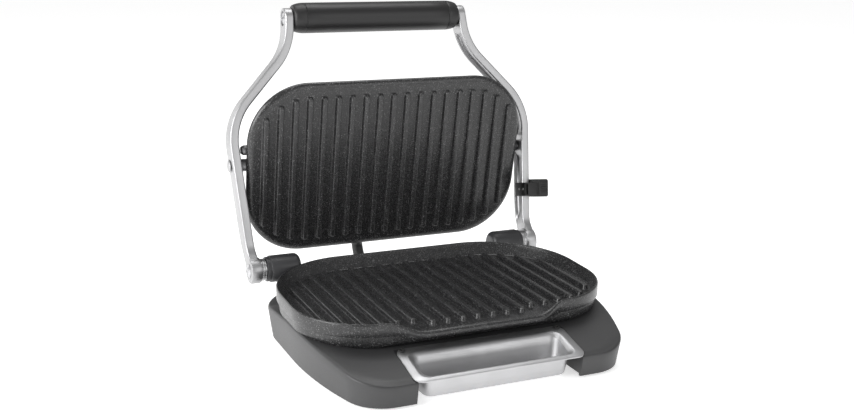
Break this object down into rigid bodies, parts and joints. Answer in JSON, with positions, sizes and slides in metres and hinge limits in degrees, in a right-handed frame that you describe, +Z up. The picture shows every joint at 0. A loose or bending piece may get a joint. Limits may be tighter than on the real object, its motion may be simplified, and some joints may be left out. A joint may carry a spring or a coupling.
{
  "type": "electric indoor grill",
  "caption": "Electric indoor grill with lid: two ribbed plates, a floating upper plate between curved arms with a bar handle, a hooked height clip and a pull-out drip tray.",
  "frame": {"origin": "on the table, in the middle of the middle foot, under the lower plate", "axes": "+X to the grill's right as seen from the front, -Y towards the front, +Z up; lid open"},
  "size_m": [0.3538, 0.326, 0.3159],
  "materials": {
    "base_plastic": "fine matt grain",
    "lid_plastic": "fine matt grain",
    "black_plastic": "satin moulded",
    "plate_coating": "speckled non-stick coating, satin",
    "arm_metal": "satin cast",
    "tray_metal": "brushed",
    "reflector_metal": "bright rolled",
    "steel": "satin",
    "heater_sheath": "heat-darkened",
    "rubber": "matt",
    "cream_plastic": "matt",
    "lens": "clear red"
  },
  "bodies": {
    "base": {"base_housing": "base_plastic", "bottom_cover": "base_plastic", "feet": "rubber", "base_screws": "steel", "hinge_tower_left": "base_plastic", "hinge_tower_right": "base_plastic", "lower_carrier": "plate_coating", "lower_grill_plate": "plate_coating", "lower_heating_element": "heater_sheath", "lower_reflector": "reflector_metal", "lower_thermostat": "cream_plastic", "thermal_fuse": "cream_plastic", "terminal_block": "cream_plastic", "cord_gland": "rubber", "base_lead_gland": "rubber", "lid_lead": "rubber"},
    "arms": {"arm_left": "arm_metal", "arm_right": "arm_metal", "hinge_shafts": "steel", "hinge_collars": "arm_metal", "hinge_screws": "steel", "handle_rod": "steel", "handle_grip": "black_plastic", "grip_ends": "black_plastic", "handle_screws": "steel"},
    "lid": {"upper_grill_plate": "plate_coating", "lid_cover": "lid_plastic", "upper_heating_element": "heater_sheath", "upper_reflector": "reflector_metal", "lid_thermostat": "cream_plastic", "lid_brackets": "steel", "pivot_pins": "steel", "stop_pins": "steel", "lid_screws": "steel", "indicator_lenses": "lens", "lid_lead_gland": "rubber"},
    "clip": {"height_clip": "black_plastic", "clip_thumb_pad": "black_plastic", "clip_screws": "steel"},
    "tray": {"drip_tray": "tray_metal", "tray_buffers": "rubber"}
  },
  "joints": [
    {"name": "arm_hinge", "type": "hinge", "parent": "base", "child": "arms", "pos_m": [0, 0.1025, 0.0585], "axis": [1, 0, 0], "range_deg": [0, 98.5], "deforming": ["lid_lead"]},
    {"name": "lid_pivot", "type": "hinge", "parent": "arms", "child": "lid", "pos_m": [0, 0.14131, 0.15779], "axis": [1, 0, 0], "range_deg": [-17.7, 0]},
    {"name": "clip_slide", "type": "slide", "parent": "arms", "child": "clip", "axis": [0.0683, 0.2261, 0.9717], "range_m": [-0.018, 0.004]},
    {"name": "tray_slide", "type": "slide", "parent": "base", "child": "tray", "axis": [0, -1, 0], "range_m": [0, 0.09]}
  ],
  "couplings": [
    {"joint": "lid_pivot", "follows": "arm_hinge", "ratio": -0.1787}
  ]
}
